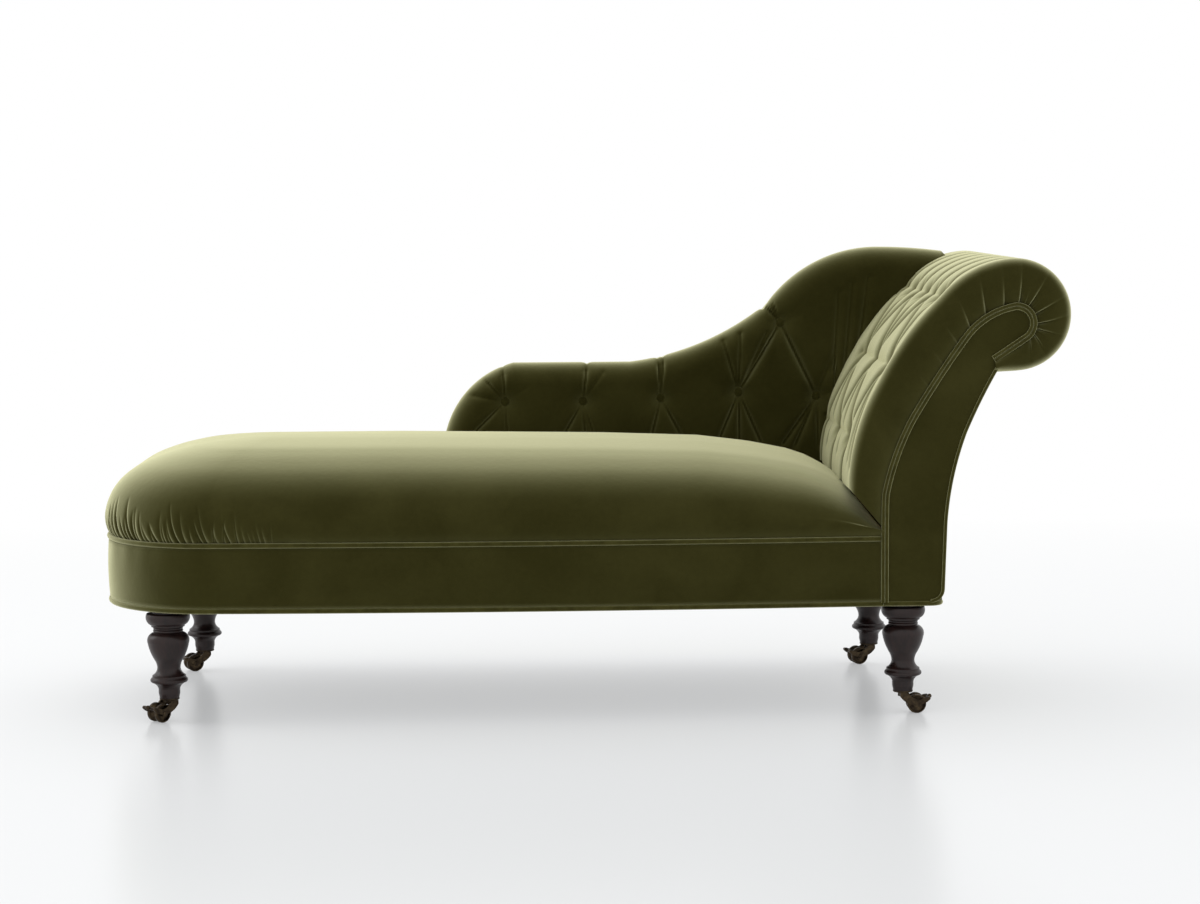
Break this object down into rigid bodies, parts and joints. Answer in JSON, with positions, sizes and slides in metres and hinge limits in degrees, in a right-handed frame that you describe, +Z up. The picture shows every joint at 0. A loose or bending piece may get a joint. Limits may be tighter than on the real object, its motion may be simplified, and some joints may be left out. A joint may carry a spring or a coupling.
{
  "type": "chaise longue",
  "caption": "Velvet chaise longue with a crowned seat, a tufted scroll headrest at one end, a shaped back along one side, turned legs and swivelling castors.",
  "frame": {"origin": "on the floor, under the middle of the whole piece", "axes": "+X from the foot to the scrolled headrest, +Y from the open front to the side with the back, +Z up"},
  "size_m": [1.7465, 0.6617, 0.8327],
  "materials": {
    "velvet": "cotton velvet, short pile, strong sheen",
    "piping": "velvet over cord",
    "buttons": "velvet over a domed button",
    "leg_wood": "dark mahogany stain, satin polish",
    "castor_brass": "aged, dulled in the recesses",
    "frame_wood": "planed hardwood, unfinished",
    "webbing": "woven jute strap",
    "spring_steel": "coppered spring wire",
    "hessian": "open jute cloth",
    "stuffing": "hair and felt",
    "dust_cloth": "thin black cotton",
    "screw_steel": "dulled wood screws"
  },
  "bodies": {
    "root": {"castor_plate_foot_front": "castor_brass", "castor_plate_foot_rear": "castor_brass", "castor_plate_head_front": "castor_brass", "castor_plate_head_rear": "castor_brass", "castor_screws": "screw_steel", "dust_cover": "dust_cloth", "foot_bow": "frame_wood", "front_rail": "frame_wood", "head_block_front": "frame_wood", "head_block_rear": "frame_wood", "head_rail": "frame_wood", "headrest_buttons": "buttons", "headrest_hessian": "hessian", "headrest_lower_rail": "frame_wood", "headrest_outer_back": "velvet", "headrest_pad": "velvet", "headrest_scroll_rail": "frame_wood", "headrest_tie_rail": "frame_wood", "leg_foot_front": "leg_wood", "leg_foot_rear": "leg_wood", "leg_head_front": "leg_wood", "leg_head_rear": "leg_wood", "rear_rail": "frame_wood", "scroll_board_front": "frame_wood", "scroll_board_rear": "frame_wood", "scroll_facing_front": "velvet", "scroll_facing_rear": "velvet", "scroll_piping_front": "piping", "scroll_piping_rear": "piping", "seat_border": "velvet", "seat_hessian": "hessian", "seat_pad": "velvet", "seat_springs": "spring_steel", "seat_stuffing": "stuffing", "seat_webbing": "webbing", "seat_welt_lower": "piping", "seat_welt_upper": "piping", "side_back_buttons": "buttons", "side_back_low_rail": "frame_wood", "side_back_outside": "velvet", "side_back_pad": "velvet", "side_back_post_foot": "frame_wood", "side_back_post_head": "frame_wood", "side_back_post_middle": "frame_wood", "side_back_top_rail": "frame_wood"},
    "castor_foot_front": {"castor_horn_foot_front": "castor_brass", "castor_axle_foot_front": "castor_brass"},
    "wheel_foot_front": {"castor_wheel_foot_front": "castor_brass"},
    "castor_head_front": {"castor_horn_head_front": "castor_brass", "castor_axle_head_front": "castor_brass"},
    "wheel_head_front": {"castor_wheel_head_front": "castor_brass"},
    "castor_foot_rear": {"castor_horn_foot_rear": "castor_brass", "castor_axle_foot_rear": "castor_brass"},
    "wheel_foot_rear": {"castor_wheel_foot_rear": "castor_brass"},
    "castor_head_rear": {"castor_horn_head_rear": "castor_brass", "castor_axle_head_rear": "castor_brass"},
    "wheel_head_rear": {"castor_wheel_head_rear": "castor_brass"}
  },
  "joints": [
    {"name": "castor_swivel_foot_front", "type": "hinge", "parent": "root", "child": "castor_foot_front", "pos_m": [-0.7485, -0.257, 0.034], "axis": [0, 0, 1], "continuous": true},
    {"name": "wheel_spin_foot_front", "type": "hinge", "parent": "castor_foot_front", "child": "wheel_foot_front", "pos_m": [-0.76547, -0.27397, 0.017], "axis": [0.7071, -0.7071, 0], "continuous": true},
    {"name": "castor_swivel_head_front", "type": "hinge", "parent": "root", "child": "castor_head_front", "pos_m": [0.5775, -0.257, 0.034], "axis": [0, 0, 1], "continuous": true},
    {"name": "wheel_spin_head_front", "type": "hinge", "parent": "castor_head_front", "child": "wheel_head_front", "pos_m": [0.6015, -0.257, 0.017], "axis": [0, 1, 0], "continuous": true},
    {"name": "castor_swivel_foot_rear", "type": "hinge", "parent": "root", "child": "castor_foot_rear", "pos_m": [-0.7485, 0.257, 0.034], "axis": [0, 0, 1], "continuous": true},
    {"name": "wheel_spin_foot_rear", "type": "hinge", "parent": "castor_foot_rear", "child": "wheel_foot_rear", "pos_m": [-0.77025, 0.24686, 0.017], "axis": [0.4226, -0.9063, 0], "continuous": true},
    {"name": "castor_swivel_head_rear", "type": "hinge", "parent": "root", "child": "castor_head_rear", "pos_m": [0.5775, 0.257, 0.034], "axis": [0, 0, 1], "continuous": true},
    {"name": "wheel_spin_head_rear", "type": "hinge", "parent": "castor_head_rear", "child": "wheel_head_rear", "pos_m": [0.55432, 0.25079, 0.017], "axis": [0.2588, -0.9659, 0], "continuous": true}
  ]
}
